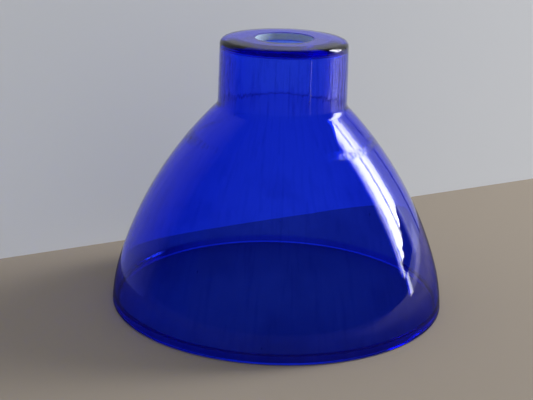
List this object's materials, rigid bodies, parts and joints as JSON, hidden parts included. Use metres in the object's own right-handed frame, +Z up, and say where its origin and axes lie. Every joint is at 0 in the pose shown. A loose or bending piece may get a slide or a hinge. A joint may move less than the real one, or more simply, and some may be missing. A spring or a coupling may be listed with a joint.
{
  "type": "glass pendant lamp shade",
  "caption": "Bell-shaped blown glass pendant lamp shade with a straight neck, a flat collar with a plain lampholder hole and a thickened open rim.",
  "frame": {"origin": "centre of the circle that the open rim rests on, in the resting plane", "axes": "+Z up the shade's axis, from the open rim to the collar; the shade is round, so X and Y are free"},
  "size_m": [0.2344, 0.2344, 0.188],
  "materials": {
    "blue_glass": "glossy transparent cobalt blue, hole edge ground matt"
  },
  "bodies": {
    "root": {"glass_shade": "blue_glass"}
  },
  "joints": []
}
